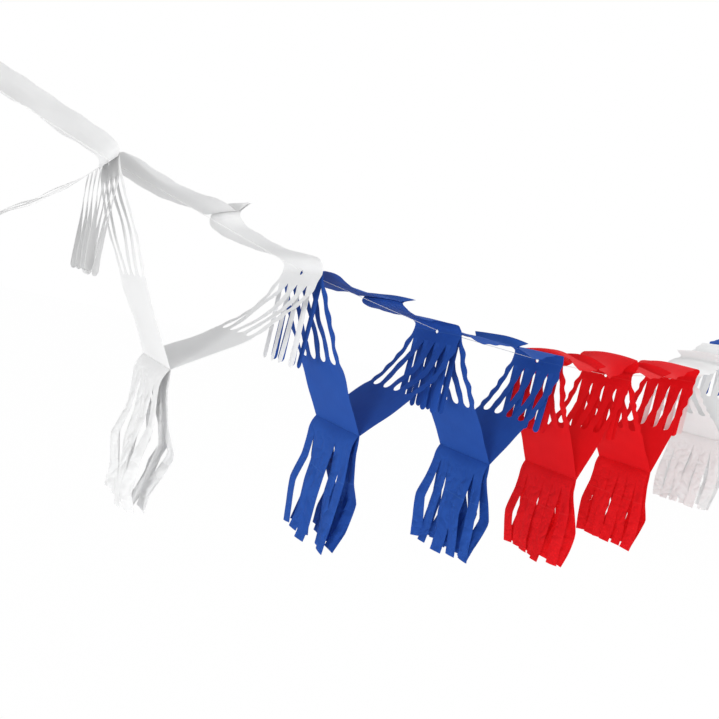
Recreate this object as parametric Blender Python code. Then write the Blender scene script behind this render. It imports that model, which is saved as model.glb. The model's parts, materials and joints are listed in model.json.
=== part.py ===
"""Paper strip garland: die-cut sheets glued into a row of open V shapes, hung in a low swag on a thread.

Every sheet is the same flat cut. From its top it has a flap, a tab with a punched hole, an arm with
four long slots, and a fringe. The four tongues that are cut from the slots stay on the sheet at their
upper ends. Two sheets make one unit: their flaps are glued together on top and their arms are glued
together below, just above the fringe. Neighbouring units are glued back to back at the tabs. One
thread runs through all the holes and carries the garland.

X runs along the garland, Y across it, and Z is up. The origin is on the outer face of the left end
tab, halfway down the tab's lower part. Lengths are in metres.
"""
import math

import bmesh
import bpy

MM = 0.001

# Paper
THICKNESS = 0.3 * MM
GAP = 0.3 * MM  # between papers that touch

# The flat sheet, along its length from the hanging line, where the hole is
SHEET_WIDTH = 90 * MM
TAB_WIDTH = 83 * MM  # on the hanging line
FIN_WIDTH = 78 * MM  # on the top glue line
FIN_HEIGHT = 13 * MM  # loose paper above the top glue line
FLAP_LENGTH = 106 * MM  # top glue line to hanging line
TAB_ABOVE = 3.2 * MM  # glued to the next unit, above the hanging line
TAB_BELOW = 13 * MM  # and below it, down to the slots
ARM_LENGTH = 168 * MM  # hanging line to lower glue line
FRINGE_LENGTH = 126 * MM
HOLE_RADIUS = 2.5 * MM

# Slots and the tongues cut from them
SLOT_COUNT = 4
SLOT_WIDTH = 10 * MM
SLOT_LENGTH = 79 * MM
WEB_HEIGHT = 2.5 * MM  # joins the tongues of one sheet at the top
TONGUE_TILTS_DEG = (2.5, 1.0, 3.0, 1.5)
TONGUE_STEPS = 2

# Fringe
STRIP_COUNT = 6
STRIP_GAP = 1.2 * MM
FRINGE_BAND = 18 * MM  # uncut paper above the strips
STRIP_BOWS_DEG = (13, 18, 12, 16, 20, 15)  # how far a strip leans out where it starts
STRIP_STEPS = 4

# Thread
THREAD_DIAMETER = 0.6 * MM
THREAD_END = 9 * MM  # from an end tab's hole to the thread's knot
THREAD_STEPS = 4  # between two holes
THREAD_SIDES = 8
KNOT_DIAMETER = 2.4 * MM
KNOT_SUBDIVISIONS = 2

# How each unit hangs, from the left end to the right end
SPREAD_SHARES = (0.896, 0.919, 0.891, 0.866, 0.741, 0.8335, 0.915, 0.915, 0.915)  # of two flap lengths
SLOPES_DEG = (-15.1, -12.15, -6.4, -0.8, 1.8, 8, 24, 26, 28)
COLOURS = ("white", "white", "blue", "blue", "red", "red", "white", "blue", "blue")

# Shape of the flaps on top
GLUE_PLACE_SHARES = (0.48, 0.515, 0.52, 0.53, 0.515, 0.52, 0.5, 0.5, 0.5)  # of the spread, from its left
GLUE_RISE = 11 * MM  # top glue line above the line through the two hanging lines, at most
GLUE_RISE_SHARES = (1, 0.85, 0.7, 0.75, 1, 0.9, 0.7, 0.7, 0.7)  # of that, from unit to unit
SHOULDER_REACH = 18 * MM  # how hard the flap stands up at the tab before it turns over
GLUE_REACH = 22 * MM  # how hard it turns into the glue line
EDGE_DROOP = 20 * MM  # how far the long edges droop at most
DROOP_SHARES = (0.1, 0.05, 0.1, 0.45, 1, 1, 0.3, 0.3, 0.3)  # of that, from unit to unit
GLUE_LINE_DROOP_SHARE = 0.3
FLAP_ROWS = 8
FLAP_COLUMNS = 4

# Shape of the arms
ARM_SAG = 11 * MM  # of a right arm below its straight line, at most. Left arms are pulled straight
ARM_SAG_SHARES = (1, 1, 0.9, 0.65, 0, 0, 0, 0, 0)  # of that, from unit to unit
STRAND_ROWS = 3
PANEL_ROWS = 2

HALF_HOLE_SIDES = 4
SLOT_END_SIDES = 4
SMOOTH_DEG = 30  # sharper edges show as creases
HALVINGS = 40

UNIT_COUNT = len(COLOURS)
LAYER = (THICKNESS + GAP) / 2  # from a glued face to the middle of either paper
STRAND_WIDTH = (SHEET_WIDTH - SLOT_COUNT * SLOT_WIDTH) / (SLOT_COUNT + 1)
HINGE_RADIUS = GAP / 2 + THICKNESS  # of the corners of two papers that turn about a glued face
ARM_STOP = HINGE_RADIUS + GAP + THICKNESS / 4  # an arm's lower end to the line its fringe turns about
SIGNS = {"left": 1, "right": -1}  # which way a sheet's flap and arm leave its tab

PAINTS = {
    "white_paper": (0.86, 0.86, 0.87),
    "blue_paper": (0.025, 0.09, 0.36),
    "red_paper": (0.72, 0.015, 0.02),
    "white_thread": (0.85, 0.85, 0.84),
}
ROUGHNESS = 0.75


def clear_scene():
    for item in list(bpy.data.objects):
        bpy.data.objects.remove(item, do_unlink=True)


def plain_material(name):
    material = bpy.data.materials.new(name)
    material.use_nodes = True
    shader = material.node_tree.nodes["Principled BSDF"]
    shader.inputs["Base Color"].default_value = (*PAINTS[name], 1)
    shader.inputs["Roughness"].default_value = ROUGHNESS
    shader.inputs["Metallic"].default_value = 0
    return material


# Where the garland hangs. Points are (x, z) pairs in the plane of the swag.

def along(point, direction, distance):
    return (point[0] + direction[0] * distance, point[1] + direction[1] * distance)


def direction_to(start, end):
    reach = math.dist(start, end)
    return ((end[0] - start[0]) / reach, (end[1] - start[1]) / reach)


def junctions():
    """The hanging lines' places, from the left end tab to the right one."""
    points = [(-GAP / 2, TAB_BELOW / 2)]
    for share, slope in zip(SPREAD_SHARES, SLOPES_DEG):
        angle = math.radians(slope)
        points.append(along(points[-1], (math.cos(angle), math.sin(angle)), 2 * share * FLAP_LENGTH))
    return points


def tab_line(junction, side):
    """The middle of one sheet's paper on the hanging line."""
    return (junction[0] + SIGNS[side] * LAYER, junction[1])


# The arms

def arm_top(junction, side):
    line = tab_line(junction, side)
    return (line[0], line[1] - TAB_BELOW)


def free_arm():
    return ARM_LENGTH - TAB_BELOW


def arm_sag(index, side):
    return ARM_SAG * ARM_SAG_SHARES[index] if side == "right" else 0


def arm_chord(sag):
    """The straight distance between the ends of an arm that hangs in a shallow curve."""
    return free_arm() - 8 * sag ** 2 / (3 * free_arm())


def apex(index, points):
    """Where a unit's two arms meet, below the two hanging lines."""
    a = arm_top(points[index], "left")
    b = arm_top(points[index + 1], "right")
    left_reach = arm_chord(arm_sag(index, "left"))
    right_reach = arm_chord(arm_sag(index, "right"))
    span = math.dist(a, b)
    direction = direction_to(a, b)
    forward = (span ** 2 + left_reach ** 2 - right_reach ** 2) / (2 * span)
    depth = math.sqrt(left_reach ** 2 - forward ** 2)
    return along(along(a, direction, forward), (direction[1], -direction[0]), depth)


def arm_point(top, bottom, sag, side, distance):
    """A point of the arm, at a distance down the paper from the tab."""
    direction = direction_to(top, bottom)
    outward = (SIGNS[side] * direction[1], -SIGNS[side] * direction[0])
    share = distance / free_arm()
    place = along(top, direction, math.dist(top, bottom) * share)
    return along(place, outward, 4 * sag * share * (1 - share))


def first_arm_step():
    return (SLOT_LENGTH - SLOT_WIDTH / 2) / STRAND_ROWS


def arm_start(index, side, points):
    """The direction in which an arm leaves its tab."""
    top = arm_top(points[index if side == "left" else index + 1], side)
    low = apex(index, points)
    return direction_to(top, arm_point(top, low, arm_sag(index, side), side, first_arm_step()))


def tongue_drop(directions):
    """How far below the tabs the tongues turn, so that their upper corners clear every arm."""
    steepest = min(math.atan2(abs(x), -z) for x, z in directions)
    return (HINGE_RADIUS + GAP - GAP / 2 * math.cos(steepest)) / math.sin(steepest)


# The flap's curve from the tab over to the top glue line

def bezier(points, t):
    weights = ((1 - t) ** 3, 3 * (1 - t) ** 2 * t, 3 * (1 - t) * t ** 2, t ** 3)
    return tuple(sum(w * p[axis] for w, p in zip(weights, points)) for axis in (0, 1))


def curve_points(start, end, arrival, reach):
    handles = (along(start, (0, 1), reach * SHOULDER_REACH), along(end, arrival, -min(reach, 1) * GLUE_REACH))
    control = (start, handles[0], handles[1], end)
    return [bezier(control, row / FLAP_ROWS) for row in range(FLAP_ROWS + 1)]


def curve_length(points):
    return sum(math.dist(a, b) for a, b in zip(points, points[1:]))


def flap_rows(start, end, arrival):
    """Rows of the curve whose length is the flap's own, found by halving the handles' reach."""
    low, high = 0, FLAP_LENGTH / SHOULDER_REACH
    for _ in range(HALVINGS):
        reach = (low + high) / 2
        if curve_length(curve_points(start, end, arrival, reach)) < FLAP_LENGTH - TAB_ABOVE:
            low = reach
        else:
            high = reach
    return curve_points(start, end, arrival, reach)


# Meshes. Each is a skin in the middle of the paper, which the Solidify modifier makes thick.

class Skin:
    def __init__(self, origin):
        self.bm = bmesh.new()
        self.origin = origin

    def point(self, u, place):
        return self.bm.verts.new((place[0] - self.origin[0], u, place[1] - self.origin[1]))

    def face(self, *corners):
        self.bm.faces.new(corners)

    def strip(self, first, second):
        """Four-sided faces between a row and the row of as many points below it."""
        for a, b, c, d in zip(first, first[1:], second[1:], second):
            self.face(a, b, c, d)

    def zipped(self, first, second):
        """Triangles between a row and the row below it, whose points may be more or fewer. Of the ways to
        share the points out in which no triangle is folded over, the one with the shortest sides is taken."""
        facing = (first[-1].co - first[0].co).cross(second[0].co - first[0].co)

        def cost(corners):
            a, b, c = (corner.co for corner in corners)
            if (b - a).cross(c - a).dot(facing) <= 0:
                return math.inf
            return (b - a).length + (c - b).length + (a - c).length

        best = {(0, 0): (0, None, None)}
        for i in range(len(first)):
            for j in range(len(second)):
                ways = []
                if i > 0:
                    corners = (first[i - 1], first[i], second[j])
                    ways.append((best[i - 1, j][0] + cost(corners), (i - 1, j), corners))
                if j > 0:
                    corners = (first[i], second[j], second[j - 1])
                    ways.append((best[i, j - 1][0] + cost(corners), (i, j - 1), corners))
                if ways:
                    best[i, j] = min(ways, key=lambda way: way[0])
        place = (len(first) - 1, len(second) - 1)
        while place != (0, 0):
            _, place, corners = best[place]
            self.face(*corners)

    def finish(self, name, material):
        bmesh.ops.triangulate(self.bm, faces=self.bm.faces[:])
        item = finished(self.bm, name, self.origin, material)
        item.data.set_sharp_from_angle(angle=math.radians(SMOOTH_DEG))
        solid = item.modifiers.new("paper", "SOLIDIFY")
        solid.thickness = THICKNESS
        solid.offset = 0
        solid.use_even_offset = True
        return item


def finished(bm, name, origin, material):
    mesh = bpy.data.meshes.new(name)
    bm.to_mesh(mesh)
    bm.free()
    mesh.shade_smooth()
    item = bpy.data.objects.new(name, mesh)
    item.location = (origin[0], 0, origin[1])
    bpy.context.scene.collection.objects.link(item)
    item.data.materials.append(material)
    return item


def drooped(u, place, up, droop):
    """A point of a flap's row, whose long edges hang lower than its middle."""
    bend = 2 * droop / (SHEET_WIDTH / 2) ** 2
    if bend == 0:
        return u, place
    return math.sin(bend * u) / bend, along(place, up, -(1 - math.cos(bend * u)) / bend)


def columns(width):
    step = width / FLAP_COLUMNS
    return [-width / 2 + step * number for number in range(FLAP_COLUMNS + 1)]


def flap_width(t):
    """The flap is narrower on the hanging line and on the glue line than halfway between them."""
    ends = TAB_WIDTH + (FIN_WIDTH - TAB_WIDTH) * t
    return ends + (SHEET_WIDTH - (TAB_WIDTH + FIN_WIDTH) / 2) * math.sin(math.pi * t)


def strand_edges():
    """Both edges of every strand, across the sheet."""
    edges = []
    for number in range(SLOT_COUNT + 1):
        start = -SHEET_WIDTH / 2 + number * (STRAND_WIDTH + SLOT_WIDTH)
        edges.append((start, start + STRAND_WIDTH))
    return edges


def half_circle(radius, sides):
    """Across and down, from one end of a diameter round to the other."""
    turns = [math.pi * number / sides for number in range(sides + 1)]
    return [(-radius * math.cos(turn), radius * math.sin(turn)) for turn in turns]


def build_flap(skin, line, glue, arrival, up, droop):
    """The flap and its fin. Gives back the row where the flap joins the tab."""
    start = along(line, (0, 1), TAB_ABOVE)
    rows = []
    for number, place in enumerate(flap_rows(start, glue, arrival)):
        t = number / FLAP_ROWS
        share = math.sin(math.pi * t) ** 2 + GLUE_LINE_DROOP_SHARE * t ** 2
        rows.append([skin.point(*drooped(u, place, up, droop * share)) for u in columns(flap_width(t))])
    fin = along(glue, up, FIN_HEIGHT)
    rows.append([skin.point(*drooped(u, fin, up, droop * GLUE_LINE_DROOP_SHARE)) for u in columns(FIN_WIDTH)])
    for lower, upper in zip(rows, rows[1:]):
        skin.strip(upper, lower)
    return rows[0]


def build_tab(skin, line, top_row):
    """The flat tab around the hole. Gives back the points along its lower edge, strand by strand."""
    outer = [skin.point(u, line) for u in (-TAB_WIDTH / 2, TAB_WIDTH / 2)]
    rim = half_circle(HOLE_RADIUS, HALF_HOLE_SIDES)
    upper = [skin.point(u, along(line, (0, 1), rise)) for u, rise in rim]
    lower = [upper[0], *[skin.point(u, along(line, (0, -1), fall)) for u, fall in rim[1:-1]], upper[-1]]
    bottom = along(line, (0, -1), TAB_BELOW)
    strands = [[skin.point(u, bottom) for u in pair] for pair in strand_edges()]
    skin.zipped(top_row, [outer[0], *upper, outer[1]])
    skin.zipped([outer[0], *lower, outer[1]], [point for pair in strands for point in pair])
    return strands


def build_arm(skin, place_at, roots):
    """Strands between the slots, then the solid panel down to the lower glue line."""
    round_start = SLOT_LENGTH - SLOT_WIDTH / 2
    rim = []
    for pair, root in zip(strand_edges(), roots):
        if rim:
            rim += slot_end(skin, pair[0] - SLOT_WIDTH / 2, round_start, place_at)
        row = root
        for number in range(STRAND_ROWS):
            next_row = [skin.point(u, place_at((number + 1) * first_arm_step())) for u in pair]
            skin.strip(row, next_row)
            row = next_row
        rim += row
    panel = free_arm() - ARM_STOP - SLOT_LENGTH
    steps = [place_at(SLOT_LENGTH + panel * (number + 1) / PANEL_ROWS) for number in range(PANEL_ROWS)]
    rows = [[skin.point(u, place) for u in columns(SHEET_WIDTH)] for place in steps]
    skin.zipped(rim, rows[0])
    for first, second in zip(rows, rows[1:]):
        skin.strip(first, second)


def slot_end(skin, middle, round_start, place_at):
    """The points of a slot's rounded lower end, between its two straight sides."""
    arc = half_circle(SLOT_WIDTH / 2, SLOT_END_SIDES)[1:-1]
    return [skin.point(middle + u, place_at(round_start + down)) for u, down in arc]


def build_sheet(name, side, index, points, material):
    left, right = points[index], points[index + 1]
    junction = left if side == "left" else right
    sign = SIGNS[side]
    line = tab_line(junction, side)
    chord = direction_to(left, right)
    up = (-chord[1], chord[0])
    run = (sign * chord[0], sign * chord[1])
    share = GLUE_PLACE_SHARES[index]
    meeting = along(along(left, chord, math.dist(left, right) * share), up, GLUE_RISE * GLUE_RISE_SHARES[index])
    glue = along(meeting, run, -LAYER)
    slack = (share if side == "left" else 1 - share) < 1 / 2
    skin = Skin(line)
    top_row = build_flap(skin, line, glue, up if slack else run, up, EDGE_DROOP * DROOP_SHARES[index])
    roots = build_tab(skin, line, top_row)
    top = arm_top(junction, side)
    low = apex(index, points)
    sag = arm_sag(index, side)
    build_arm(skin, lambda distance: arm_point(top, low, sag, side, distance), roots)
    return skin.finish(name, material)


def bowed(start, bow, length, steps):
    """Points down a strip that leans out at its top and back in at its foot."""
    points = [start]
    for number in range(steps):
        angle = bow * math.cos(math.pi * (number + 1 / 2) / steps)
        points.append(along(points[-1], (math.sin(angle), -math.cos(angle)), length / steps))
    return points


def tilted(start, tilt, length, steps):
    """Points down a tongue that leans further the lower it gets."""
    points = [start]
    for number in range(steps):
        angle = tilt * (number + 1 / 2) / steps * 2
        points.append(along(points[-1], (math.sin(angle), -math.cos(angle)), length / steps))
    return points


def build_fringe(name, side, point, turn, material):
    """One sheet's fringe: a band that hangs from the glue line, cut into strips below."""
    sign = -SIGNS[side]
    top = (point[0] + sign * LAYER, point[1])
    root = along(top, (0, -1), FRINGE_BAND)
    skin = Skin(point)
    pitch = (SHEET_WIDTH + STRIP_GAP) / STRIP_COUNT
    starts = [-SHEET_WIDTH / 2 + pitch * number for number in range(STRIP_COUNT)]
    roots = []
    for number, start in enumerate(starts):
        bow = sign * math.radians(STRIP_BOWS_DEG[(number + turn) % STRIP_COUNT])
        edges = (start, start + pitch - STRIP_GAP)
        rows = [[skin.point(u, place) for u in edges]
                for place in bowed(root, bow, FRINGE_LENGTH - FRINGE_BAND, STRIP_STEPS)]
        for first, second in zip(rows, rows[1:]):
            skin.strip(first, second)
        roots += rows[0]
    skin.zipped([skin.point(u, top) for u in columns(SHEET_WIDTH)], roots)
    return skin.finish(name, material)


def build_tongues(name, side, point, drop, material):
    """One sheet's four tongues, joined at the top by a low web that passes behind the strands."""
    sign = SIGNS[side]
    top = (point[0] + sign * LAYER, point[1])
    root = along(top, (0, -1), WEB_HEIGHT)
    skin = Skin(point)
    half = SLOT_WIDTH / 2 - GAP
    roots = []
    edges = strand_edges()
    for number, (pair, after) in enumerate(zip(edges, edges[1:])):
        middle = (pair[1] + after[0]) / 2
        tilt = sign * math.radians(TONGUE_TILTS_DEG[number])
        length = SLOT_LENGTH - drop - WEB_HEIGHT - half
        places = tilted(root, tilt, length, TONGUE_STEPS)
        rows = [[skin.point(middle - half, place), skin.point(middle + half, place)] for place in places]
        for first, second in zip(rows, rows[1:]):
            skin.strip(first, second)
        down = direction_to(places[-2], places[-1])
        tip = [skin.point(middle + u, along(places[-1], down, fall))
               for u, fall in half_circle(half, SLOT_END_SIDES)[1:-1]]
        skin.face(*rows[-1], *reversed(tip))
        roots += rows[0]
    skin.strip([skin.point(point.co.y, top) for point in roots], roots)
    return skin.finish(name, material)


# The thread, just below the upper rims of the holes

def thread_stops(points):
    """The thread's place in every hole, and its two ends beyond the end tabs."""
    rise = HOLE_RADIUS - THREAD_DIAMETER / 2 - 2 * GAP
    holes = [along(point, (0, 1), rise) for point in points]
    first = along(holes[0], direction_to(holes[1], holes[0]), THREAD_END)
    last = along(holes[-1], direction_to(holes[-2], holes[-1]), THREAD_END)
    return [first, *holes, last]


def build_thread(name, stops, material):
    route = []
    for first, second in zip(stops, stops[1:]):
        direction = direction_to(first, second)
        step = math.dist(first, second) / THREAD_STEPS
        route += [along(first, direction, step * number) for number in range(THREAD_STEPS)]
    route.append(stops[-1])
    curve = bpy.data.curves.new(name, "CURVE")
    curve.dimensions = "3D"
    curve.bevel_depth = THREAD_DIAMETER / 2
    curve.bevel_resolution = THREAD_SIDES // 4
    curve.use_fill_caps = True
    spline = curve.splines.new("POLY")
    spline.points.add(len(route) - 1)
    for point, place in zip(spline.points, route):
        point.co = (place[0], 0, place[1], 1)
    item = bpy.data.objects.new(name, curve)
    bpy.context.scene.collection.objects.link(item)
    curve.materials.append(material)
    return item


def build_knot(name, end, before, material):
    bm = bmesh.new()
    bmesh.ops.create_icosphere(bm, subdivisions=KNOT_SUBDIVISIONS, radius=KNOT_DIAMETER / 2)
    middle = along(end, direction_to(before, end), GAP + KNOT_DIAMETER / 2)
    return finished(bm, name, middle, material)


def build_garland():
    clear_scene()
    materials = {name: plain_material(name) for name in PAINTS}
    points = junctions()
    arms = {index: [] for index in range(UNIT_COUNT + 1)}
    for index in range(UNIT_COUNT):
        arms[index].append(arm_start(index, "left", points))
        arms[index + 1].append(arm_start(index, "right", points))
    for index, colour in enumerate(COLOURS):
        unit = index + 1
        paper = materials[f"{colour}_paper"]
        low = apex(index, points)
        print(f"unit {unit}: fringe turns about x {low[0]:.6f} z {low[1]:.6f}")
        for side, near in (("left", index), ("right", index + 1)):
            build_sheet(f"sheet_{unit}_{side}", side, index, points, paper)
            build_fringe(f"fringe_{unit}_{side}", side, low, index, paper)
            drop = tongue_drop(arms[near])
            place = (points[near][0], points[near][1] - TAB_BELOW - drop)
            print(f"  {side} tongues turn about x {place[0]:.6f} z {place[1]:.6f}")
            build_tongues(f"tongues_{unit}_{side}", side, place, drop, paper)
    stops = thread_stops(points)
    build_thread("hanging_thread", stops, materials["white_thread"])
    build_knot("thread_knot_left", stops[0], stops[1], materials["white_thread"])
    build_knot("thread_knot_right", stops[-1], stops[-2], materials["white_thread"])
    print(f"right hanging line x {points[-1][0]:.6f} z {points[-1][1]:.6f}")
    print(f"thread {curve_length(stops):.4f} long")


build_garland()
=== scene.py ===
import bisect
import json
import math
import random

import bpy
from mathutils import Matrix, Vector
from mathutils.geometry import delaunay_2d_cdt


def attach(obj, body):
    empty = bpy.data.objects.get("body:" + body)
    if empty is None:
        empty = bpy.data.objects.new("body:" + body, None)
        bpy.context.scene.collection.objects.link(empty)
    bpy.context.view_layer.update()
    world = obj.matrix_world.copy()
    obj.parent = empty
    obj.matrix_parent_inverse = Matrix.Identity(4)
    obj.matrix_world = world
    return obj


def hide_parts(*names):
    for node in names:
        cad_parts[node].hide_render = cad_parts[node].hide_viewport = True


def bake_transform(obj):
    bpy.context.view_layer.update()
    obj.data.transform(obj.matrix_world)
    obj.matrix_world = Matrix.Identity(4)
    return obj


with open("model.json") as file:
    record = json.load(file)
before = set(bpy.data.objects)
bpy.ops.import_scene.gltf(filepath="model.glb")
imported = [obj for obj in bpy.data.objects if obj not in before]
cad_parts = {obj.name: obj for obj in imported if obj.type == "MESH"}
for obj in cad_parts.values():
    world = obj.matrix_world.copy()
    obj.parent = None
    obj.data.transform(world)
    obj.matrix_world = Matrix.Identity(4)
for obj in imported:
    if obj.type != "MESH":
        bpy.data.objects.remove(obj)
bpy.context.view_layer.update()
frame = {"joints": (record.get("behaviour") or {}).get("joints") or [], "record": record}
mm = 0.001
joints = {joint["name"]: Vector(joint["pos_m"]) for joint in frame["joints"]}
unitCount = sum(name.startswith("fringe") for name in joints)
signs = {"left": 1, "right": -1}    # which way a sheet's flap and arm leave its tab
slots = {row["node"]: row["material_slot"] for row in frame["record"]["subparts"]}
print("frame loaded,", unitCount, "units")

# The flat cut that every sheet is made from. Lengths run down the sheet from the hanging line.
cut = {
    "width": 90 * mm,
    "finHeight": 13 * mm,
    "flapLength": 106 * mm,
    "tabAbove": 3.2 * mm,
    "tabBelow": 13 * mm,
    "armLength": 168 * mm,
    "fringeLength": 126 * mm,
    "holeRadius": 2.5 * mm,
    "holeSides": 16,
    "slotCount": 4,
    "slotWidth": 10 * mm,
    "slotLength": 79 * mm,
    "slotEndSides": 8,
    "scallopPitch": 20 * mm,
    "scallopDepth": 2.6 * mm,
    "slotWave": 0.4 * mm,           # how far a slot's sides swing in and out
    "tabNeck": 3.5 * mm,            # how much narrower each side is on the hanging line
    "tabNeckReach": 9 * mm,
    "glueNeck": 6 * mm,             # and on the top glue line
    "glueNeckReach": 9 * mm,
    "scallopFade": 16 * mm,         # the long edges run straight beyond the slots' ends
    "thickness": 0.14 * mm,
    "layer": 0.3 * mm,              # from a glued face to the middle of either sheet
}
# how finely the cut is divided into triangles
division = {
    "edgeStep": 3 * mm,
    "slotStep": 4 * mm,
    "meshStep": 5 * mm,
    "rowShare": 0.87,               # rows lie closer than the points in them
    "edgeMargin": 2.2 * mm,
    "cutMargin": 2 * mm,
    "insideOnly": 1,                # what Blender's triangulation gives back
    "mergeBelow": 1e-4,
    "sharpDeg": 38,
}
half = cut["width"] / 2
slotEnd = cut["tabBelow"] + cut["slotLength"]
glueTop = -cut["flapLength"]
finTop = glueTop - cut["finHeight"]
strandWidth = (cut["width"] - cut["slotCount"] * cut["slotWidth"]) / (cut["slotCount"] + 1)
slotPitch = strandWidth + cut["slotWidth"]
firstSlot = -half + strandWidth + cut["slotWidth"] / 2
slotMiddles = [firstSlot + slotPitch * number for number in range(cut["slotCount"])]

# Which random numbers each piece draws: per unit, then for its left and its right side
seeds = {"unit": (101, 0, 0), "sheet": (17, 3, 8), "fringe": (29, 1, 2), "tongues": (43, 5, 6)}

# The camera that was fitted to the photograph
shot = {
    "place": (0.1044, -0.5258, -0.1327),
    "headingDeg": 34.4,             # from +Y towards +X
    "tiltDeg": -2.05,
    "rollDeg": 13.45,
    "focalPixels": 594.4,
    "imagePixels": 719,
    "clipStart": 20 * mm,
}


def makeCamera():
    heading, tilt, roll = (math.radians(shot[name]) for name in ("headingDeg", "tiltDeg", "rollDeg"))
    ahead = Vector((math.sin(heading) * math.cos(tilt), math.cos(heading) * math.cos(tilt), math.sin(tilt)))
    right = Vector((math.cos(heading), -math.sin(heading), 0))
    up = right.cross(ahead)
    x = right * math.cos(roll) + up * math.sin(roll)
    y = up * math.cos(roll) - right * math.sin(roll)
    camera = bpy.data.objects.new("camera", bpy.data.cameras.new("camera"))
    bpy.context.scene.collection.objects.link(camera)
    camera.matrix_world = Matrix.Translation(shot["place"]) @ Matrix((x, y, -ahead)).transposed().to_4x4()
    camera.data.lens = camera.data.sensor_width * shot["focalPixels"] / shot["imagePixels"]
    camera.data.clip_start = shot["clipStart"]
    bpy.context.scene.camera = camera


makeCamera()


def smooth(t):
    t = min(1, max(0, t))
    return t * t * (3 - 2 * t)


def drawsFor(kind, unit, side="left"):
    perUnit, left, right = seeds[kind]
    return random.Random(perUnit * unit + (left if side == "left" else right))


def steps(start, end, step):
    count = max(1, round(abs(end - start) / step))
    return [start + (end - start) * number / count for number in range(count + 1)]


# Materials

class Flow:
    # wraps a socket, so that arithmetic on it adds Math nodes
    def __init__(self, board, socket):
        self.board = board
        self.socket = socket

    def maths(self, operation, *values):
        return self.board.node("ShaderNodeMath", {"operation": operation}, dict(enumerate(values)))

    def __add__(self, other):
        return self.maths("ADD", self, other)

    def __radd__(self, other):
        return self.maths("ADD", other, self)

    def __sub__(self, other):
        return self.maths("SUBTRACT", self, other)

    def __rsub__(self, other):
        return self.maths("SUBTRACT", other, self)

    def __mul__(self, other):
        return self.maths("MULTIPLY", self, other)

    def __rmul__(self, other):
        return self.maths("MULTIPLY", other, self)

    def __truediv__(self, other):
        return self.maths("DIVIDE", self, other)

    def __abs__(self):
        return self.maths("ABSOLUTE", self)

    def clipped(self):
        return self.board.node("ShaderNodeClamp", {}, {"Value": self})


class Board:
    # the nodes of one material or of the world
    def __init__(self, owner):
        owner.use_nodes = True
        self.tree = owner.node_tree
        self.tree.nodes.clear()

    def node(self, kind, settings=None, values=None, output=0):
        made = self.tree.nodes.new(kind)
        for name, value in (settings or {}).items():
            setattr(made, name, value)
        for name, value in (values or {}).items():
            if isinstance(value, Flow):
                self.tree.links.new(value.socket, made.inputs[name])
            else:
                made.inputs[name].default_value = value
        return Flow(self, made.outputs[output]) if made.outputs else None

    def mixed(self, factor, first, second):
        # sockets 6 and 7 and output 2 are the Mix node's colours
        settings = {"data_type": "RGBA", "blend_type": "MIX"}
        return self.node("ShaderNodeMix", settings, {0: factor, 6: first, 7: second}, 2)

    def noise(self, place, scale, detail, roughness):
        values = {"Vector": place, "Scale": scale, "Detail": detail, "Roughness": roughness}
        return self.node("ShaderNodeTexNoise", {"noise_dimensions": "3D"}, values)

    def bump(self, finish, height):
        values = {"Strength": finish["bumpStrength"], "Distance": finish["bumpHeight"], "Height": height}
        return self.node("ShaderNodeBump", {}, values)


paper = {
    "flatScale": 10,                # one step of the flat coordinates is 100 mm
    # scale, detail and roughness
    "noises": {
        "fibres": (95, 5, 0.6),
        "clouds": (3.2, 3, 0.5),
        "streaks": (1, 4, 0.5),
        "crumples": (2.4, 2, 0.35),
        "folds": (6, 1, 0.3),
    },
    "streakStretch": (55, 2.5, 1),
    "creasesMm": (0, 168, 220),     # down the sheet from the hanging line
    "creaseWidthMm": 0.7,
    "creaseWear": 0.45,
    "foldStartMm": 172,             # crumpled paper below the lower glue line
    "foldFadeMm": 30,
    "mottle": {"clouds": 1.1, "fibres": 0.9, "streaks": 0.8},
    "heights": {"fibres": 0.05, "streaks": 0.04, "crumples": 1.6, "folds": 15, "creases": -0.25},
    "bumpStrength": 0.5,
    "bumpHeight": 1.2 * mm,
    "roughness": 0.66,
    "roughnessSpread": 0.25,
    "shine": 0.1,
}
noiseMiddle = 0.5
# "through" is the share of light that goes into the sheet and on through it
paints = {
    "white_paper": {"base": (0.93, 0.93, 0.93), "deep": (0.885, 0.89, 0.895), "worn": (0.95, 0.95, 0.95),
                    "glow": (0.92, 0.92, 0.915), "through": 0.22},
    "blue_paper": {"base": (0.030, 0.120, 0.50), "deep": (0.022, 0.09, 0.41), "worn": (0.07, 0.19, 0.55),
                   "glow": (0.03, 0.12, 0.50), "through": 0.25},
    "red_paper": {"base": (0.86, 0.014, 0.020), "deep": (0.76, 0.008, 0.014), "worn": (0.92, 0.06, 0.06),
                  "glow": (0.98, 0.012, 0.016), "through": 0.3},
}


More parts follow.
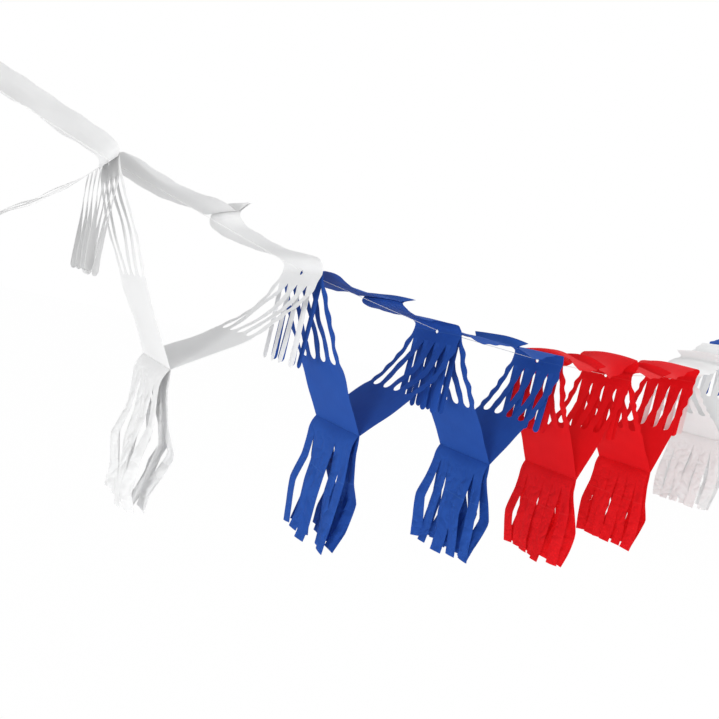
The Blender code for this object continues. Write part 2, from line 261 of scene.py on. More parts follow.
def paperMaterial(name, paint):
    material = bpy.data.materials.new(name + "_finish")
    board = Board(material)
    flat = board.node("ShaderNodeTexCoord", output="UV")
    down = board.node("ShaderNodeSeparateXYZ", {}, {"Vector": flat}, "Y")
    stretch = {0: flat, 1: paper["streakStretch"]}
    stretched = board.node("ShaderNodeVectorMath", {"operation": "MULTIPLY"}, stretch)
    patterns = {name: board.noise(stretched if name == "streaks" else flat, *values)
                for name, values in paper["noises"].items()}

    downMm = down * (1 / mm / paper["flatScale"])
    creases = 0
    for place in paper["creasesMm"]:
        creases = creases + (1 - abs(downMm - place) / paper["creaseWidthMm"]).clipped()
    patterns["creases"] = creases
    handled = ((downMm - paper["foldStartMm"]) / paper["foldFadeMm"]).clipped()
    patterns["folds"] = abs(patterns["folds"] - noiseMiddle) * handled

    mottle = noiseMiddle
    for name, weight in paper["mottle"].items():
        mottle = mottle + (patterns[name] - noiseMiddle) * weight
    colour = board.mixed(mottle.clipped(), (*paint["deep"], 1), (*paint["base"], 1))
    colour = board.mixed((creases * paper["creaseWear"]).clipped(), colour, (*paint["worn"], 1))

    tooth = 0
    for name, height in paper["heights"].items():
        tooth = tooth + patterns[name] * height
    bump = board.bump(paper, tooth)
    rough = paper["roughness"] + (patterns["fibres"] - noiseMiddle) * paper["roughnessSpread"]
    shade = {
        "Base Color": colour,
        "Roughness": rough.clipped(),
        "Metallic": 0,
        "Specular IOR Level": paper["shine"],
        "Normal": bump,
    }
    front = board.node("ShaderNodeBsdfPrincipled", {}, shade)
    through = board.node("ShaderNodeBsdfTranslucent", {}, {"Color": (*paint["glow"], 1), "Normal": bump})
    whole = board.node("ShaderNodeMixShader", {}, {0: paint["through"], 1: front, 2: through})
    board.node("ShaderNodeOutputMaterial", {}, {"Surface": whole})
    return material


twine = {
    "colour": (0.95, 0.95, 0.945),
    "roughness": 0.6,
    "twistScale": 900,
    "bumpStrength": 0.4,
    "bumpHeight": 0.1 * mm,
}


def threadMaterial():
    material = bpy.data.materials.new("white_thread_finish")
    board = Board(material)
    place = board.node("ShaderNodeTexCoord", output="Object")
    twist = board.node("ShaderNodeTexWave", {"wave_type": "BANDS", "bands_direction": "DIAGONAL"},
                       {"Vector": place, "Scale": twine["twistScale"]})
    shade = {
        "Base Color": (*twine["colour"], 1),
        "Roughness": twine["roughness"],
        "Metallic": 0,
        "Normal": board.bump(twine, twist),
    }
    front = board.node("ShaderNodeBsdfPrincipled", {}, shade)
    board.node("ShaderNodeOutputMaterial", {}, {"Surface": front})
    return material


finishes = {name: paperMaterial(name, paint) for name, paint in paints.items()}
finishes["white_thread"] = threadMaterial()
print("finishes made")


# Where the junctions are: a left arm is pulled straight between its tab and the lower glue line

def junctionOf(number):
    x = joints[f"tongues_{number}_swing"].x
    unit, side = (number + 1, "left") if number < unitCount else (number, "right")
    low = joints[f"fringe_{unit}_swing"]
    reach = cut["armLength"] - cut["tabBelow"]
    across = low.x - (x + signs[side] * cut["layer"])
    return Vector((x, low.z + math.sqrt(reach ** 2 - across ** 2) + cut["tabBelow"]))


junctions = [junctionOf(number) for number in range(unitCount + 1)]


def dress(piece, node, body):
    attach(piece, body)
    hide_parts(node)


# The thread through the holes, tied off beyond both end tabs

thread = {
    "diameter": 0.6 * mm,
    "rise": 1.6 * mm,               # above the hanging lines
    "end": 9 * mm,
    "stepsBetweenHoles": 4,
    "knotDiameter": 2.4 * mm,
    "knotStrand": 0.7 * mm,
    "knotPoints": 48,
    "trefoilWidth": 6,              # of the curve that a knot follows, in its own steps
    "gap": 0.3 * mm,
}


def tube(name, points, width, closed=False):
    curve = bpy.data.curves.new(name, "CURVE")
    curve.dimensions = "3D"
    curve.bevel_depth = width / 2
    curve.bevel_resolution = 2
    curve.use_fill_caps = not closed
    spline = curve.splines.new("POLY")
    spline.use_cyclic_u = closed
    spline.points.add(len(points) - 1)
    for made, point in zip(spline.points, points):
        made.co = (*point, 1)
    piece = bpy.data.objects.new(name, curve)
    bpy.context.scene.collection.objects.link(piece)
    curve.materials.append(finishes["white_thread"])
    return piece


def knot(node, end, before):
    # a small overhand knot just past the thread's end
    away = (end - before).normalized()
    middle = end + away * (thread["gap"] + thread["knotDiameter"] / 2)
    size = (thread["knotDiameter"] - thread["knotStrand"]) / thread["trefoilWidth"]
    points = []
    for number in range(thread["knotPoints"]):
        t = math.tau * number / thread["knotPoints"]
        y = math.cos(t) - 2 * math.cos(2 * t)
        z = math.sin(t) + 2 * math.sin(2 * t)
        points.append(middle + Vector((-math.sin(3 * t), y, z)) * size)
    piece = tube("tied_" + node, points, thread["knotStrand"], closed=True)
    dress(piece, node, "garland_sheets")
    return piece


def buildThread():
    holes = [Vector((point.x, 0, point.y + thread["rise"])) for point in junctions]
    first = holes[0] + (holes[0] - holes[1]).normalized() * thread["end"]
    last = holes[-1] + (holes[-1] - holes[-2]).normalized() * thread["end"]
    stops = [first, *holes, last]
    route = []
    count = thread["stepsBetweenHoles"]
    for start, end in zip(stops, stops[1:]):
        route += [start.lerp(end, number / count) for number in range(count)]
    route.append(last)
    piece = tube("white_hanging_thread", route, thread["diameter"])
    dress(piece, "hanging_thread", "garland_sheets")
    knots = [knot("thread_knot_left", first, holes[0]), knot("thread_knot_right", last, holes[-1])]


buildThread()

# How each unit's flaps lie. Rows of nine values run from the left end of the garland to the right end.
flaps = {
    "gluePlaces": (0.48, 0.515, 0.52, 0.53, 0.515, 0.52, 0.5, 0.5, 0.5),    # shares of the unit's spread
    "glueRise": 11 * mm,            # of the top glue line above the straight line between the tabs
    "glueRises": (1, 0.85, 0.7, 0.75, 1, 0.9, 0.7, 0.7, 0.7),
    "rowStep": 2 * mm,
    "tabStep": 1.6 * mm,
    "cornerRounds": 9,
    "finCorner": 10 * mm,           # how far the rounding of the two corners reaches
    "armCorner": 12 * mm,
    "droopMm": (2, 0.6, 3, 8.5, 19, 13, 6, 6, 6),       # of the long edges
    "farDroops": (1, 1, 0.5, 0.2, 0.8, 0.8, 1, 1, 1),   # the far edge's shares of that
    "peaks": {"left": 1.0, "right": 1.6},       # a lower one brings the droop nearer to the tab
    "ownPeaks": {(4, "left"): 0.6},
    "glueDroop": 0.6,               # what is left of it at the top glue line
    "leanDeg": (8, 14, 50, 36, 32, 24, 12, 15, 10),     # of the fins
    "finWave": 1.2 * mm,
    "finWaveLength": 62 * mm,
    "finOpen": 1.0 * mm,
}
# Each unit's left and right flap: shares of the way from tab to glue line, and mm above the straight line
rises = {
    1: (((0.08, 6), (0.2, 10), (0.45, 11), (0.75, 6)),
        ((0.03, 5.5), (0.07, 7), (0.15, 7.2), (0.3, 6.3), (0.48, 5.6), (0.63, 5), (0.87, 1.8))),
    2: (((0.04, 4.4), (0.11, 4.3), (0.3, 2), (0.63, 0.8), (0.88, 2.2)),
        ((0.02, 5), (0.058, 8.2), (0.118, 9.6), (0.196, 8.3), (0.36, 3.5), (0.54, -0.8), (0.68, -3.6),
         (0.8, -5), (0.87, -5.4), (0.92, -4.8), (0.96, -3.2))),
    3: (((0.04, 4.2), (0.1, 4.8), (0.15, 4.2), (0.24, 2.4), (0.36, 0.2), (0.5, -0.4), (0.68, 0.4),
         (0.88, 1.6)),
        ((0.02, 5), (0.075, 7.4), (0.15, 7.9), (0.33, 5), (0.5, 2), (0.7, -1.8), (0.82, -3.4), (0.9, -3.4),
         (0.96, -1.8))),
    4: (((0.04, 4.4), (0.12, 6), (0.25, 5), (0.5, 3.5), (0.8, 1.5)),
        ((0.01, 7), (0.04, 9.8), (0.09, 11.2), (0.29, 9.4), (0.52, 5.7), (0.73, 2.2), (0.9, 0.4))),
    5: (((0.01, 7), (0.06, 13), (0.2, 17), (0.45, 15.5), (0.75, 7)),
        ((-0.02, 20), (-0.01, 28), (0.025, 33), (0.1, 34), (0.23, 28), (0.42, 19), (0.62, 12), (0.82, 7))),
    6: (((0.01, 7), (0.07, 13), (0.22, 16.5), (0.5, 14), (0.78, 7)),
        ((-0.01, 10), (0.005, 17), (0.06, 22), (0.27, 23), (0.5, 18.5), (0.7, 11.5), (0.88, 4.5))),
    7: (((0.03, 5.5), (0.1, 8), (0.3, 8), (0.6, 5), (0.85, 2)),
        ((0.02, 6), (0.07, 9.4), (0.2, 10), (0.45, 7), (0.75, 3), (0.9, 1))),
    8: (((0.03, 5), (0.1, 7), (0.3, 7.5), (0.6, 6), (0.85, 2.5)),
        ((0.02, 7), (0.07, 10.5), (0.2, 11), (0.45, 6.5), (0.75, 2), (0.9, 0.6))),
    9: (((0.03, 5.5), (0.1, 8.5), (0.3, 8.5), (0.6, 4.5), (0.85, 1.6)),
        ((0.02, 6), (0.07, 9), (0.2, 9.5), (0.45, 7.5), (0.75, 3.6), (0.9, 1.4))),
}
arms = {
    "sagMm": (5, 15, 13, 10, 4, 4, 3, 3, 3),        # of a right arm, halfway down
    "leftSagMm": 3,
    "upperHandle": (0.32, 2.07),    # along the arm, and out of its straight line in sags
    "lowerHandle": (0.70, 0.62),
    "strandBow": 2.6 * mm,
}
# Waves that loose paper has, and how they fade towards the places where it is glued
ripples = {
    "flapHeight": 0.7 * mm,
    "armHeight": 0.5 * mm,
    "count": 4,
    "across": (-14, 14),            # waves per metre
    "along": (8, 22),
    "strength": (0.4, 1),
    "tabStart": 14 * mm,
    "tabFade": 40 * mm,
    "lowFade": 45 * mm,
    "glueFade": 30 * mm,
}


def bezier(points, t):
    weights = ((1 - t) ** 3, 3 * (1 - t) ** 2 * t, 3 * (1 - t) * t ** 2, t ** 3)
    return sum((point * weight for point, weight in zip(points, weights)), Vector((0, 0)))


def curved(points, count=60):
    return [bezier(points, number / count) for number in range(count + 1)]


def lineThrough(before, points, count=8):
    # a smooth line through all the points, which sets out as if it came from the one before them
    found = []
    places = [before, *points, points[-1] * 2 - points[-2]]
    for a, b, c, d in zip(places, places[1:], places[2:], places[3:]):
        reach = (c - b).length / 3
        leave, arrive = (c - a).normalized() * reach, (d - b).normalized() * reach
        found += curved((b, b + leave, c - arrive, c), count)[:-1]
    return found + [points[-1]]


def measured(points):
    lengths = [0]
    for first, second in zip(points, points[1:]):
        lengths.append(lengths[-1] + (second - first).length)
    return lengths


def respaced(points, start, end, step):
    # (place down the sheet, point) at even steps along a dense line of points
    lengths = measured(points)
    rows = []
    for place in steps(start, end, step):
        wanted = lengths[-1] * (place - start) / (end - start)
        index = min(len(points) - 2, max(0, bisect.bisect_right(lengths, wanted) - 1))
        span = lengths[index + 1] - lengths[index]
        share = (wanted - lengths[index]) / span if span else 0
        rows.append((place, points[index].lerp(points[index + 1], share)))
    return rows


class Sheet:
    # one glued sheet's centre line in the plane of the swag, and how its paper lies around it
    def __init__(self, unit, side):
        self.unit = unit
        self.side = side
        self.sign = signs[side]
        self.index = unit - 1
        left, right = junctions[unit - 1], junctions[unit]
        self.junction = left if side == "left" else right
        chord = (right - left).normalized()
        self.up = Vector((-chord.y, chord.x))
        self.run = chord * self.sign
        share = flaps["gluePlaces"][self.index]
        meeting = left.lerp(right, share) + self.up * flaps["glueRise"] * flaps["glueRises"][self.index]
        self.glue = meeting - self.run * cut["layer"]
        self.line = self.junction + Vector((self.sign * cut["layer"], 0))
        low = joints[f"fringe_{unit}_swing"]
        self.low = Vector((low.x - self.sign * cut["layer"], low.z))
        self.droop = flaps["droopMm"][self.index] * mm
        self.farDroop = flaps["farDroops"][self.index]
        draws = drawsFor("sheet", unit, side)
        self.waves = [(draws.uniform(*ripples["across"]), draws.uniform(*ripples["along"]),
                       draws.uniform(0, math.tau), draws.uniform(*ripples["strength"]))
                      for _ in range(ripples["count"])]
        self.bows = [draws.uniform(-1, 1) for _ in range(cut["slotCount"] + 1)]
        self.finPhase = drawsFor("unit", unit).uniform(0, math.tau)
        self.rows = self.centreLine()
        self.places = [place for place, _ in self.rows]

    def flapLine(self):
        way = self.glue - self.line
        out = Vector((-way.y, way.x)).normalized() * self.sign
        start = self.line + Vector((0, cut["tabAbove"]))
        shape = rises[self.unit][0 if self.side == "left" else 1]
        between = [self.line + way * share + out * (rise * mm) for share, rise in shape]
        return lineThrough(self.line, [start, *between, self.glue])

    def armLine(self):
        way = self.low - self.line
        out = Vector((-way.y, way.x)).normalized() * -self.sign
        sag = (arms["leftSagMm"] if self.side == "left" else arms["sagMm"][self.index]) * mm
        handles = [self.line + way * along + out * sag * off
                   for along, off in (arms["upperHandle"], arms["lowerHandle"])]
        return curved((self.line, *handles, self.low))

    def centreLine(self):
        lean = math.radians(flaps["leanDeg"][self.index])
        finWay = Vector((self.up.x * math.cos(lean) + self.up.y * math.sin(lean),
                         self.up.y * math.cos(lean) - self.up.x * math.sin(lean)))
        fin = [self.glue + finWay * cut["finHeight"], self.glue]
        tabTop = self.line + Vector((0, cut["tabAbove"]))
        step = flaps["rowStep"]
        rows = respaced(fin, finTop, glueTop, step)[:-1]
        rows += respaced(self.flapLine()[::-1], glueTop, -cut["tabAbove"], step)[:-1]
        rows += respaced([tabTop, self.line], -cut["tabAbove"], 0, flaps["tabStep"])[:-1]
        rows += respaced(self.armLine(), 0, cut["armLength"], step)
        for _ in range(flaps["cornerRounds"]):
            rows = self.rounded(rows)
        return rows

    def rounded(self, rows):
        # softens the turns from the flap into the fin and from the tab into the arm
        eased = list(rows)
        for number in range(1, len(rows) - 1):
            place, point = rows[number]
            if abs(place - glueTop) < flaps["finCorner"] or 0 < place < flaps["armCorner"]:
                eased[number] = (place, point / 2 + (rows[number - 1][1] + rows[number + 1][1]) / 4)
        return eased

    def at(self, place):
        index = min(len(self.rows) - 2, max(0, bisect.bisect_right(self.places, place) - 1))
        (first, a), (second, b) = self.rows[index], self.rows[index + 1]
        way = (b - a).normalized()
        share = (place - first) / (second - first)
        return a.lerp(b, share), Vector((-way.y, way.x))

    def droopAt(self, place, across):
        # how far the long edges hang below the middle
        if place >= -cut["tabAbove"]:
            return 0
        size = self.droop * (self.farDroop if across > 0 else 1)
        t = min(1, (place + cut["tabAbove"]) / (glueTop + cut["tabAbove"]))
        peak = flaps["ownPeaks"].get((self.unit, self.side), flaps["peaks"][self.side])
        return size * (math.sin(math.pi * t ** peak) ** 2 + flaps["glueDroop"] * t * t)

    def ripple(self, place, across):
        # loose paper is never quite flat, but glued paper is
        free = smooth((abs(place) - ripples["tabStart"]) / ripples["tabFade"])
        free *= smooth((cut["armLength"] - place) / ripples["lowFade"])
        free *= smooth((place - glueTop) / ripples["glueFade"])
        size = ripples["flapHeight" if place < 0 else "armHeight"]
        total = sum(weight * math.sin(math.tau * (place * along + across * over) + phase)
                    for over, along, phase, weight in self.waves)
        return total * size * free

    def strandBow(self, place, across):
        if not cut["tabBelow"] < place < slotEnd:
            return 0
        strand = min(cut["slotCount"], max(0, round((across + half - strandWidth / 2) / slotPitch)))
        along = math.sin(math.pi * (place - cut["tabBelow"]) / cut["slotLength"]) ** 2
        return self.bows[strand] * arms["strandBow"] * along

    def bent(self, place, across):
        # where a point of the flat cut lies in space
        point, normal = self.at(place)
        bend = 2 * self.droopAt(place, across) / half ** 2
        y, fall = across, 0
        if bend:
            y = math.sin(bend * across) / bend
            fall = (1 - math.cos(bend * across)) / bend
        point = point - self.up * fall + normal * (self.ripple(place, across) + self.strandBow(place, across))
        height = (glueTop - place) / cut["finHeight"]
        if height > 0:
            wave = math.sin(math.tau * across / flaps["finWaveLength"] + self.finPhase) * flaps["finWave"]
            point = point + Vector(((wave - self.sign * flaps["finOpen"]) * height ** 2, 0))
        return Vector((point.x, y, point.y))


# The flat cut's outline, and the triangles between it, the slots and the hole

def halfWidth(place):
    fade = 1 - smooth((place - slotEnd) / cut["scallopFade"] + 0.5)
    scallop = cut["scallopDepth"] * fade * (1 - math.cos(math.tau * place / cut["scallopPitch"])) / 2
    tabNeck = cut["tabNeck"] * math.exp(-(place / cut["tabNeckReach"]) ** 2)
    glueNeck = cut["glueNeck"] * math.exp(-((place - glueTop) / cut["glueNeckReach"]) ** 2)
    return half - scallop - tabNeck - glueNeck


def sheetOutline():
    down = steps(finTop, cut["armLength"], division["edgeStep"])
    right = [Vector((halfWidth(place), place)) for place in down]
    left = [Vector((-halfWidth(place), place)) for place in reversed(down)]
    step = division["meshStep"]
    bottom = [Vector((u, cut["armLength"])) for u in steps(right[-1].x, left[0].x, step)[1:-1]]
    top = [Vector((u, finTop)) for u in steps(left[-1].x, right[0].x, step)[1:-1]]
    return right + bottom + left + top


def slotOutline(middle):
    radius = cut["slotWidth"] / 2
    sides = steps(cut["tabBelow"], slotEnd - radius, division["slotStep"])
    turns = [math.pi * number / cut["slotEndSides"] for number in range(1, cut["slotEndSides"])]

    def edge(place):
        return radius + cut["slotWave"] * math.sin(math.tau * place / cut["scallopPitch"])
    left = [Vector((middle - edge(place), place)) for place in sides]
    arc = [Vector((middle - radius * math.cos(turn), sides[-1] + radius * math.sin(turn))) for turn in turns]
    right = [Vector((middle + edge(place), place)) for place in reversed(sides)]
    return left + arc + right + [Vector((middle, cut["tabBelow"]))]


def holeOutline():
    turns = [math.tau * number / cut["holeSides"] for number in range(cut["holeSides"])]
    return [Vector((math.cos(turn), math.sin(turn))) * cut["holeRadius"] for turn in turns]


def cutAway(point, margin=0):
    # whether a point lies in the hole or in a slot, or nearer to one than the margin
    if point.length < cut["holeRadius"] + margin:
        return True
    beyond = cut["slotWidth"] / 2 + margin
    roundFrom = slotEnd - cut["slotWidth"] / 2
    for middle in slotMiddles:
        if abs(point.x - middle) < beyond and cut["tabBelow"] - margin < point.y < roundFrom:
            return True
        if (point - Vector((middle, roundFrom))).length < beyond:
            return True
    return False


def inside():
    # points between the outlines
    found = []
    step, margin = division["meshStep"], division["edgeStep"]
    places = steps(finTop + margin, cut["armLength"] - margin, step * division["rowShare"])
    for row, place in enumerate(places):
        if cut["tabBelow"] < place < slotEnd - cut["slotWidth"] / 2:
            strands = range(cut["slotCount"] + 1)
            found += [Vector((-half + strandWidth / 2 + slotPitch * number, place)) for number in strands]
            continue
        shift = step / 2 * (row % 2)
        for u in steps(-half + shift, half - step + shift, step):
            point = Vector((u, place))
            within = abs(u) < halfWidth(place) - division["edgeMargin"]
            if within and not cutAway(point, division["cutMargin"]):
                found.append(point)
    return found


def triangulated(outlines, points):
    corners = [point for outline in outlines for point in outline]
    faces, start = [], 0
    for outline in outlines:
        faces.append(list(range(start, start + len(outline))))
        start += len(outline)
    given = [point / mm for point in corners + points]
    made = delaunay_2d_cdt(given, [], faces, division["insideOnly"], division["mergeBelow"])
    flat = [point * mm for point in made[0]]
    kept = []
    for face in made[2]:
        middle = sum((flat[corner] for corner in face), Vector((0, 0))) / len(face)
        if not cutAway(middle):
            kept.append(tuple(face))
    return flat, kept


slotOutlines = [slotOutline(middle) for middle in slotMiddles]
flatCut = triangulated([sheetOutline(), *slotOutlines, holeOutline()], inside())
print("flat cut:", len(flatCut[0]), "points,", len(flatCut[1]), "triangles")


def paperPiece(name, points, faces, flats, finish):
    # a thin closed sheet from its middle surface, with its place on the flat cut as the UV map
    mesh = bpy.data.meshes.new(name)
    mesh.from_pydata(points, [], faces)
    layer = mesh.uv_layers.new(name="flat")
    for loop in mesh.loops:
        flat = flats[loop.vertex_index]
        layer.data[loop.index].uv = (flat[0] * paper["flatScale"], flat[1] * paper["flatScale"])
    piece = bpy.data.objects.new(name, mesh)
    bpy.context.scene.collection.objects.link(piece)
    solid = piece.modifiers.new("thickness", "SOLIDIFY")
    solid.thickness = cut["thickness"]
    solid.offset = 0
    solid.use_even_offset = False
    thick = bpy.data.meshes.new_from_object(piece.evaluated_get(bpy.context.evaluated_depsgraph_get()))
    piece.modifiers.clear()
    piece.data = thick
    thick.name = name
    thick.shade_smooth()
    thick.set_sharp_from_angle(angle=math.radians(division["sharpDeg"]))
    thick.materials.clear()
    thick.materials.append(finish)
    return piece


def buildSheet(sheet):
    node = f"sheet_{sheet.unit}_{sheet.side}"
    points = [sheet.bent(flat.y, flat.x) for flat in flatCut[0]]
    piece = paperPiece("paper_" + node, points, flatCut[1], flatCut[0], finishes[slots[node]])
    dress(piece, node, "garland_sheets")


# Ribbons of paper: fringe strips and tongues

acrossShares = (-1, -0.5, 0, 0.5, 1)
cupReach = 1 / 3    # the share of its length over which a ribbon becomes hollow


def ribbon(start, width, length, shares, leans, sideLeans, twists, cup, taper=None):
    # rows of points down a ribbon. Each of leans, sideLeans and twists gives radians for a share of the way.
    rows, point, last = [], Vector(start), 0
    for t in shares:
        lean, side, twist = leans(t), sideLeans(t), twists(t)
        way = Vector((math.sin(lean), math.sin(side), -math.cos(lean) * math.cos(side))).normalized()
        point = point + way * length * (t - last)
        last = t
        over = (Vector((0, 1, 0)) - way * way.y).normalized()
        out = way.cross(over)
        turned = over * math.cos(twist) + out * math.sin(twist)
        over, out = turned, out * math.cos(twist) - over * math.sin(twist)
        scale = taper(t) if taper else 1
        depth = cup * smooth(t / cupReach)
        rows.append([point + over * (share * width / 2 * scale) + out * (depth * (1 - share ** 2))
                     for share in acrossShares])
    return rows


class Cloth:
    # collects rows of points into one mesh
    def __init__(self):
        self.points = []
        self.faces = []
        self.flats = []

    def row(self, points, flats):
        start = len(self.points)
        self.points += points
        self.flats += flats
        return list(range(start, start + len(points)))

    def join(self, first, second):
        for a, b, c, d in zip(first, first[1:], second[1:], second):
            self.faces.append((a, b, c, d))


fringes = {
    "stripCount": 6,
    "knifeGap": 0.4 * mm,
    "band": 18 * mm,                # the uncut paper above the strips
    "bandStep": 2.25 * mm,
    "stripRows": 24,
    "shoulderDeg": {"left": 38, "right": 8},        # how far the band leans out where it starts
    # outward leans down a strip, which change at a crease, and again twice below it
    "leansDeg": {
        "left": ((-7, 9), (3, 16), (-14, 5), (-20, 14)),
        "right": ((6, 23), (11, 28), (-26, -8), (-26, 4)),
    },
    "turnShares": ((0.27, 0.33), (0.5, 0.62), (0.76, 0.88)),
    "turnLength": 0.07,
    # the outer strips spread sideways and then come back in, the others take a share of that
    "sideDeg": (4, 10),
    "innerShare": 0.6,
    "spreadLength": 0.2,
    "backShares": (0.25, 0.4),
    "backLength": 0.6,
    "backTurn": 2.1,
    "twistDeg": (-32, 12),
    "edgeTwistDeg": (-48, 6),
    "twistStart": 0.08,
    "twistLength": 0.9,
    "cup": 0.7 * mm,
}


def stripWays(number, sheet, source):
    last = fringes["stripCount"] - 1
    leans = [math.radians(source.uniform(*pair)) * -sheet.sign for pair in fringes["leansDeg"][sheet.side]]
    turns = [source.uniform(*pair) for pair in fringes["turnShares"]]
    inner = source.uniform(-fringes["innerShare"], fringes["innerShare"])
    edge = {0: -1, last: 1}.get(number, inner)
    side = edge * math.radians(source.uniform(*fringes["sideDeg"]))
    twist = math.radians(source.uniform(*fringes["edgeTwistDeg" if number in (0, last) else "twistDeg"]))
    backAt = source.uniform(*fringes["backShares"])

    def leanAt(t):
        total = leans[0]
        for turn, before, after in zip(turns, leans, leans[1:]):
            total += (after - before) * smooth((t - turn) / fringes["turnLength"] + 0.5)
        return total

    def sideAt(t):
        back = fringes["backTurn"] * smooth((t - backAt) / fringes["backLength"])
        return side * smooth(t / fringes["spreadLength"]) * (1 - back)

    def twistAt(t):
        return twist * smooth((t - fringes["twistStart"]) / fringes["twistLength"])
    return leanAt, sideAt, twistAt


def bandPlaces(sheet):
    # down the uncut paper, which bulges out under the glue line
    point = sheet.low.copy()
    found = [(0, point.copy())]
    downs = steps(0, fringes["band"], fringes["bandStep"])
    for before, after in zip(downs, downs[1:]):
        lean = math.radians(fringes["shoulderDeg"][sheet.side]) * (1 - (before + after) / 2 / fringes["band"])
        point += Vector((-sheet.sign * math.sin(lean), -math.cos(lean))) * (after - before)
        found.append((after, point.copy()))
    return found


def buildFringe(sheet):
    node = f"fringe_{sheet.unit}_{sheet.side}"
    source = drawsFor("fringe", sheet.unit, sheet.side)
    made = Cloth()
    count = fringes["stripCount"]
    pitch = cut["width"] / count
    width = pitch - fringes["knifeGap"]
    stripLength = cut["fringeLength"] - fringes["band"]
    middles = [-half + pitch * (number + 0.5) for number in range(count)]
    across = [middle + share * width / 2 for middle in middles for share in acrossShares]
    rows = []
    places = bandPlaces(sheet)
    for down, place in places:
        points = [Vector((place.x, u, place.y)) for u in across]
        rows.append(made.row(points, [(u, cut["armLength"] + down) for u in across]))
    for first, second in zip(rows, rows[1:]):
        made.join(first, second)
    shares = [number / fringes["stripRows"] for number in range(1, fringes["stripRows"] + 1)]
    for number, middle in enumerate(middles):
        start = Vector((places[-1][1].x, middle, places[-1][1].y))
        ways = stripWays(number, sheet, source)
        strip = ribbon(start, width, stripLength, shares, *ways, -sheet.sign * fringes["cup"])
        above = rows[-1][number * len(acrossShares):(number + 1) * len(acrossShares)]
        for share, points in zip(shares, strip):
            down = cut["armLength"] + fringes["band"] + stripLength * share
            below = made.row(points, [(middle + side * width / 2, down) for side in acrossShares])
            made.join(above, below)
            above = below
    piece = paperPiece("paper_" + node, made.points, made.faces, made.flats, finishes[slots[node]])
    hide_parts(node)
    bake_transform(piece)


tongues = {
    "rows": 14,
    "tipRows": 6,
    "tipTurnDeg": 84,
    "leanDeg": (-1.5, 0.5),
    "leanLength": 0.25,
    "shiftDeg": {1: 4},             # by junction, towards the right end
    "curlDeg": 4,
    "curlShares": (-0.4, 1),
    "sideDeg": 1.5,
    "sideLength": 0.5,
    "twistDeg": {1: (30, 60)},      # by junction
    "looseTwistDeg": (-26, 6),
    "cup": 0.7 * mm,
    "clearance": 0.35 * mm,
    "bendLength": 0.045,            # in which a tongue turns from the arm's slope to hang straight
    "blend": 12 * mm,               # below its root, where it turns with the swing
}


def tongueWays(sheet, junction, source):
    a, b = (sheet.at(place)[0] for place in (cut["tabBelow"], cut["tabBelow"] + flaps["rowStep"]))
    root = math.atan2(b.x - a.x, a.y - b.y)
    lean = sheet.sign * math.radians(source.uniform(*tongues["leanDeg"]))
    if sheet.side == "right":
        lean += math.radians(tongues["shiftDeg"].get(junction, 0))
    curl = sheet.sign * math.radians(source.uniform(*tongues["curlShares"]) * tongues["curlDeg"])
    side = math.radians(source.uniform(-1, 1) * tongues["sideDeg"])
    twist = math.radians(source.uniform(*tongues["twistDeg"].get(junction, tongues["looseTwistDeg"])))

    def leanAt(t):
        bend = root * (1 - smooth(t / tongues["bendLength"]))
        return bend + lean * smooth(t / tongues["leanLength"]) + curl * t * t

    def sideAt(t):
        return side * smooth(t / tongues["sideLength"])

    def twistAt(t):
        return twist * smooth(t)
    return leanAt, sideAt, twistAt


def tongueShares():
    # even rows, then closer ones round the tip
    straight = 1 - cut["slotWidth"] / 2 / cut["slotLength"]
    whole = math.radians(tongues["tipTurnDeg"])
    turns = [whole * (number + 1) / tongues["tipRows"] for number in range(tongues["tipRows"])]
    return ([straight * number / tongues["rows"] for number in range(tongues["rows"] + 1)]
            + [straight + (1 - straight) * math.sin(turn) for turn in turns])


def tipTaper(t):
    # the round lower end of a tongue
    radius = cut["slotWidth"] / 2
    left = (1 - t) * cut["slotLength"]
    return 1 if left >= radius else math.sqrt(1 - (1 - left / radius) ** 2)


def buildTongues(sheet):
    node = f"tongues_{sheet.unit}_{sheet.side}"
    junction = sheet.unit - 1 if sheet.side == "left" else sheet.unit
    source = drawsFor("tongues", sheet.unit, sheet.side)
    made = Cloth()
    width = cut["slotWidth"] - 2 * tongues["clearance"]
    top = sheet.at(cut["tabBelow"])[0]
    shares = tongueShares()
    for middle in slotMiddles:
        ways = tongueWays(sheet, junction, source)
        rows = ribbon((top.x, middle, top.y), width, cut["slotLength"], shares, *ways,
                      sheet.sign * tongues["cup"], tipTaper)
        above = None
        for share, points in zip(shares, rows):
            down = cut["tabBelow"] + cut["slotLength"] * share
            below = made.row(points, [(middle + side * width / 2, down) for side in acrossShares])
            if above:
                made.join(above, below)
            above = below
    piece = paperPiece("paper_" + node, made.points, made.faces, made.flats, finishes[slots[node]])
    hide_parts(node)
    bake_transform(piece)


for unit in range(1, unitCount + 1):
    for side in signs:
        sheet = Sheet(unit, side)
        buildSheet(sheet)
        buildFringe(sheet)
        buildTongues(sheet)
    print("unit", unit, "hung")

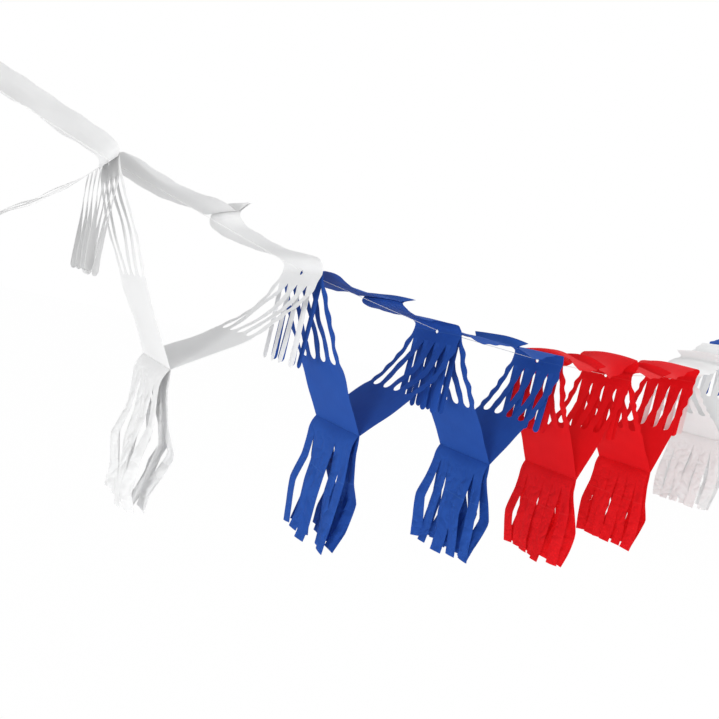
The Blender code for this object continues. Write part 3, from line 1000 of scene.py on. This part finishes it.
room = {
    "floorPlace": (0.8, 0, -1.1),
    "floorSize": 40,
    "floorParts": 4,
    "floorColour": (0.9, 0.9, 0.9, 1),
    "floorGlow": 0.985,
    "sky": 0.72,
    "lamps": {
        "key": {"place": (3.2, -0.3, 2.6), "size": 1.6, "power": 65},
        "fill": {"place": (-2.2, -1.8, -0.65), "size": 0.8, "power": 42},
    },
    "aim": (0.75, 0, -0.12),
}


def makeFloor():
    bpy.ops.mesh.primitive_grid_add(x_subdivisions=room["floorParts"], y_subdivisions=room["floorParts"],
                                    size=room["floorSize"], location=room["floorPlace"])
    floor = bpy.context.object
    floor.name = "floor"
    material = bpy.data.materials.new("pale_floor")
    board = Board(material)
    plain = board.node("ShaderNodeBsdfDiffuse", {}, {"Color": room["floorColour"]})
    glow = board.node("ShaderNodeEmission", {}, {"Color": (1, 1, 1, 1), "Strength": 1})
    seen = board.node("ShaderNodeLightPath", output="Is Camera Ray") * room["floorGlow"]
    whole = board.node("ShaderNodeMixShader", {}, {0: seen, 1: plain, 2: glow})
    board.node("ShaderNodeOutputMaterial", {}, {"Surface": whole})
    floor.data.materials.append(material)


def makeWorld():
    world = bpy.data.worlds.new("studio")
    bpy.context.scene.world = world
    board = Board(world)
    # the background is white to the camera, and lights the paper less than that
    strength = board.node("ShaderNodeLightPath", output="Is Camera Ray") * (1 - room["sky"]) + room["sky"]
    back = board.node("ShaderNodeBackground", {}, {"Color": (1, 1, 1, 1), "Strength": strength})
    board.node("ShaderNodeOutputWorld", {}, {"Surface": back})


def makeLamp(name, place, size, power):
    lamp = bpy.data.lights.new(name, "AREA")
    lamp.shape = "SQUARE"
    lamp.size = size
    lamp.energy = power
    stand = bpy.data.objects.new(name, lamp)
    bpy.context.scene.collection.objects.link(stand)
    stand.location = place
    stand.visible_camera = False
    stand.rotation_euler = (Vector(room["aim"]) - Vector(place)).to_track_quat("-Z", "Y").to_euler()


makeFloor()
makeWorld()
for name, lamp in room["lamps"].items():
    makeLamp(name, **lamp)
bpy.context.scene.view_settings.view_transform = "Standard"
print("floor and light set")
